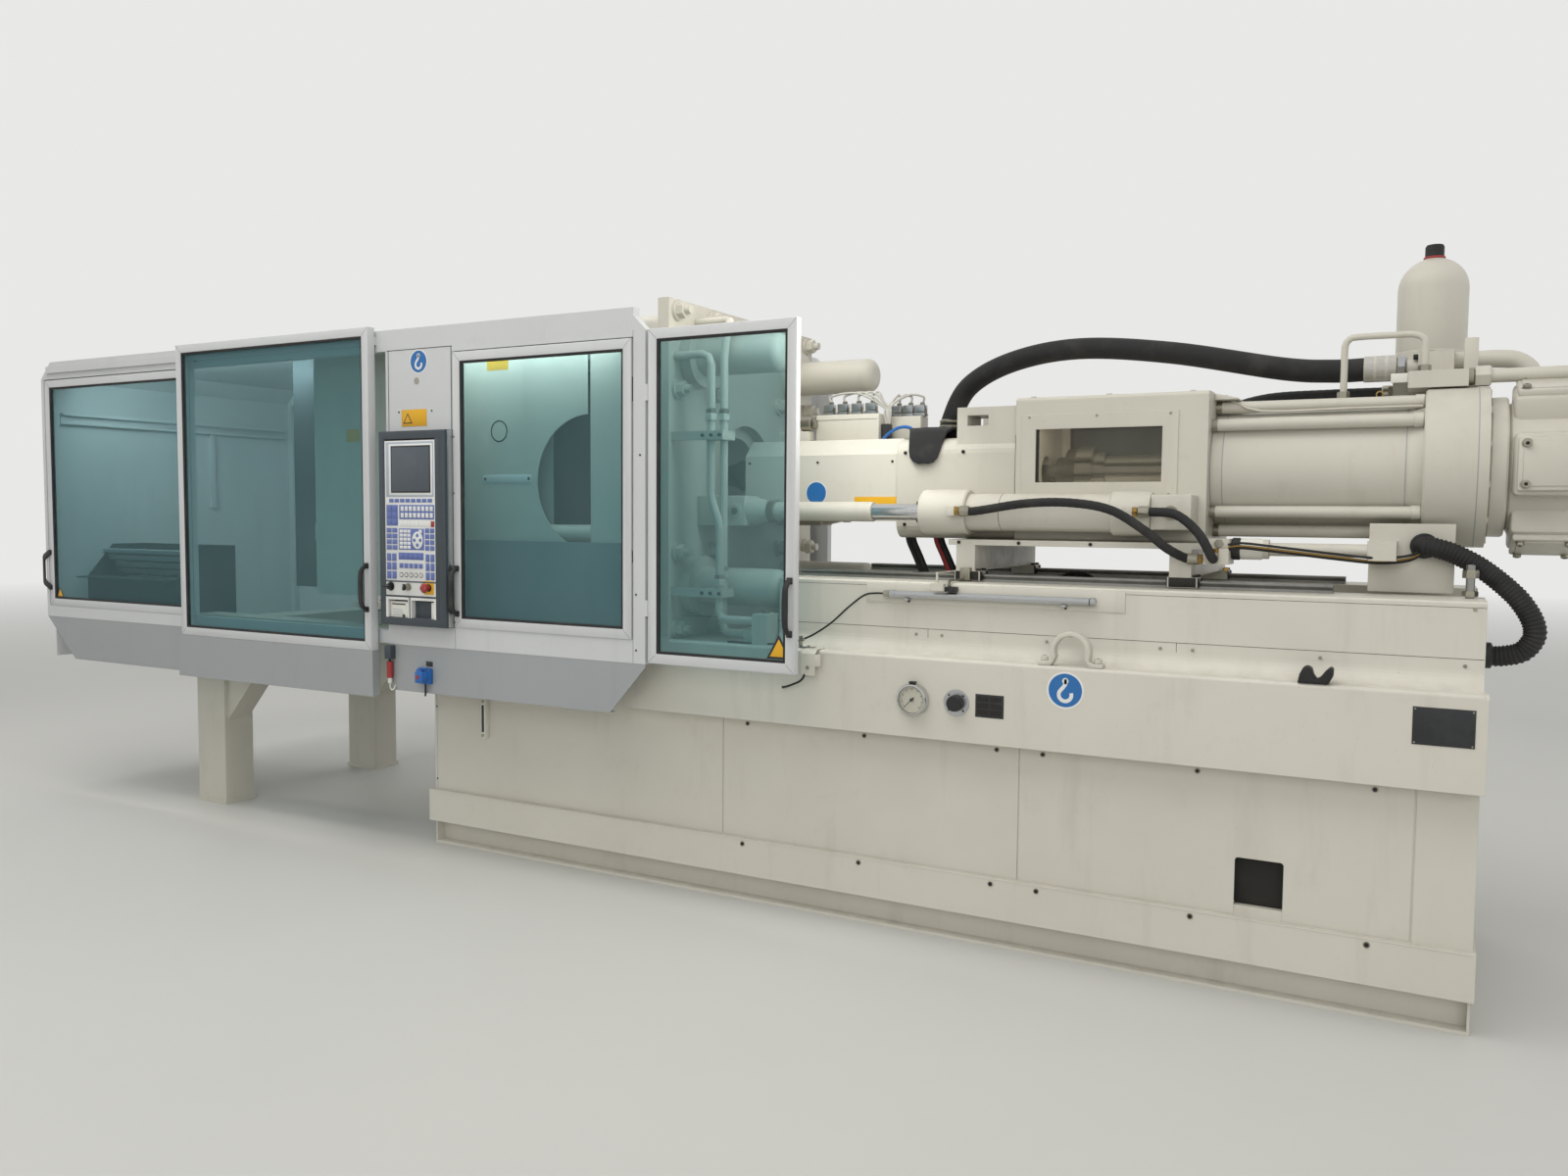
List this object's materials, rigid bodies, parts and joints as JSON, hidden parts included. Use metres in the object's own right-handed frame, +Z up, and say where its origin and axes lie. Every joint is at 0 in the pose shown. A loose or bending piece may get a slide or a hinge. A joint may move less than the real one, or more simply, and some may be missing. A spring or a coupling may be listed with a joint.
{
  "type": "injection moulding machine",
  "caption": "Horizontal injection moulding machine: platen clamp behind glazed sliding guards, sheet-metal base, and hydraulic injection unit with barrel, cylinder and screw motor on rails",
  "frame": {"origin": "floor point under the centre of the fixed platen's mould face, on the machine's centre plane", "axes": "+X along the machine from the clamp to the screw motor, +Y away from the operator, +Z up"},
  "size_m": [6.932, 1.736, 2.445],
  "materials": {
    "machine_paint": "semi-gloss two-pack paint, cream white",
    "cabinet_paint": "semi-gloss sheet paint, cream white",
    "guard_paint": "powder-coated aluminium profile, light grey",
    "apron_paint": "smooth powder coat, blue grey",
    "window_pane": "clear polycarbonate, faint teal tint",
    "panel_slate": "fine-texture paint, dark slate",
    "key_foil": "printed polyester foil",
    "steel_bright": "ground steel",
    "chrome_rod": "hard chrome, polished",
    "hose_rubber": "matt black rubber",
    "black_plastic": "moulded black plastic",
    "red_plastic": "moulded red plastic",
    "blue_plastic": "moulded blue plastic",
    "bare_aluminium": "drawn aluminium",
    "black_steel": "blackened steel"
  },
  "bodies": {
    "frame": {"base_frame": "cabinet_paint", "front_panel_left": "cabinet_paint", "front_panel_mid": "cabinet_paint", "front_panel_right": "cabinet_paint", "rear_panels": "cabinet_paint", "bed": "cabinet_paint", "clamp_frame": "machine_paint", "legs": "machine_paint", "fixed_platen": "machine_paint", "cylinder_plate": "machine_paint", "tie_bars": "chrome_rod", "dome_covers": "machine_paint", "clamp_hydraulics": "machine_paint", "guard_frame": "guard_paint", "guard_rear": "guard_paint", "inner_sheets": "apron_paint", "apron_left": "apron_paint", "apron_mid": "apron_paint", "hmi_case": "panel_slate", "hmi_front": "key_foil", "linear_rails": "steel_bright", "carriage_rods": "chrome_rod", "transducer": "bare_aluminium", "pressure_gauge": "black_plastic", "socket_box": "blue_plastic", "hood_fittings": "machine_paint", "bed_hose": "hose_rubber"},
    "door_left": {"door_1": "guard_paint", "door_1_glass": "window_pane"},
    "door_main": {"door_2": "guard_paint", "door_2_glass": "window_pane", "apron_door": "apron_paint"},
    "door_mould": {"door_3": "guard_paint", "door_3_glass": "window_pane"},
    "door_nozzle": {"door_4": "guard_paint", "door_4_glass": "window_pane"},
    "door_back": {"rear_door": "guard_paint"},
    "platen": {"moving_platen": "machine_paint", "platen_cover": "panel_slate", "travel_rods": "chrome_rod"},
    "ejector_plate": {"ejector": "steel_bright"},
    "carriage": {"carriage_feet": "machine_paint", "injection_housing": "machine_paint", "feed_slide": "black_steel", "barrel_cover": "cabinet_paint", "barrel": "steel_bright", "injection_cylinder": "machine_paint", "cylinder_tie_rods": "machine_paint", "screw_motor": "machine_paint", "accumulator": "machine_paint", "hydraulic_pipes": "machine_paint", "carriage_cylinders": "machine_paint", "carriage_hoses": "hose_rubber"},
    "piston": {"piston_rod": "chrome_rod"},
    "screw_body": {"screw": "steel_bright"},
    "estop": {"estop_button": "red_plastic"},
    "key": {"key_switch": "steel_bright"},
    "selector": {"selector_switch": "black_plastic"},
    "needle": {"gauge_needle": "black_plastic"},
    "knob": {"valve_knob": "black_plastic"}
  },
  "joints": [
    {"name": "door_left_slide", "type": "slide", "parent": "frame", "child": "door_left", "axis": [1, 0, 0], "range_m": [0, 1.1]},
    {"name": "door_main_slide", "type": "slide", "parent": "frame", "child": "door_main", "axis": [1, 0, 0], "range_m": [-1.12, 0]},
    {"name": "door_mould_hinge", "type": "hinge", "parent": "frame", "child": "door_mould", "pos_m": [0.34, -0.786, 1.57], "axis": [0, 0, 1], "range_deg": [0, 90]},
    {"name": "door_nozzle_hinge", "type": "hinge", "parent": "frame", "child": "door_nozzle", "pos_m": [0.412, -0.78, 1.54], "axis": [0, 0, 1], "range_deg": [-90, 0]},
    {"name": "door_back_slide", "type": "slide", "parent": "frame", "child": "door_back", "axis": [1, 0, 0], "range_m": [-1.1, 0]},
    {"name": "clamp_stroke", "type": "slide", "parent": "frame", "child": "platen", "axis": [1, 0, 0], "range_m": [-0.69, 0]},
    {"name": "ejector_stroke", "type": "slide", "parent": "platen", "child": "ejector_plate", "axis": [1, 0, 0], "range_m": [0, 0.12]},
    {"name": "carriage_slide", "type": "slide", "parent": "frame", "child": "carriage", "axis": [1, 0, 0], "range_m": [-0.115, 0.3], "deforming": ["bed_hose"]},
    {"name": "injection_stroke", "type": "slide", "parent": "carriage", "child": "piston", "axis": [1, 0, 0], "range_m": [0, 0.22]},
    {"name": "screw_turn", "type": "hinge", "parent": "piston", "child": "screw_body", "pos_m": [1.6, 0, 1.65], "axis": [1, 0, 0], "continuous": true},
    {"name": "estop_push", "type": "slide", "parent": "frame", "child": "estop", "axis": [0, 1, 0], "range_m": [0, 0.004], "stiffness_N_per_m": 1000},
    {"name": "key_turn", "type": "hinge", "parent": "frame", "child": "key", "pos_m": [-0.864, -0.83, 1.171], "axis": [0, -1, 0], "range_deg": [-90, 0]},
    {"name": "selector_turn", "type": "hinge", "parent": "frame", "child": "selector", "pos_m": [-0.764, -0.83, 1.171], "axis": [0, -1, 0], "range_deg": [-45, 45]},
    {"name": "needle_turn", "type": "hinge", "parent": "frame", "child": "needle", "pos_m": [1.413, -0.634, 0.85], "axis": [0, -1, 0], "range_deg": [-270, 0], "stiffness_Nm_per_rad": 0.02},
    {"name": "knob_turn", "type": "hinge", "parent": "frame", "child": "knob", "pos_m": [1.567, -0.62, 0.849], "axis": [0, -1, 0], "range_deg": [-270, 0]}
  ]
}
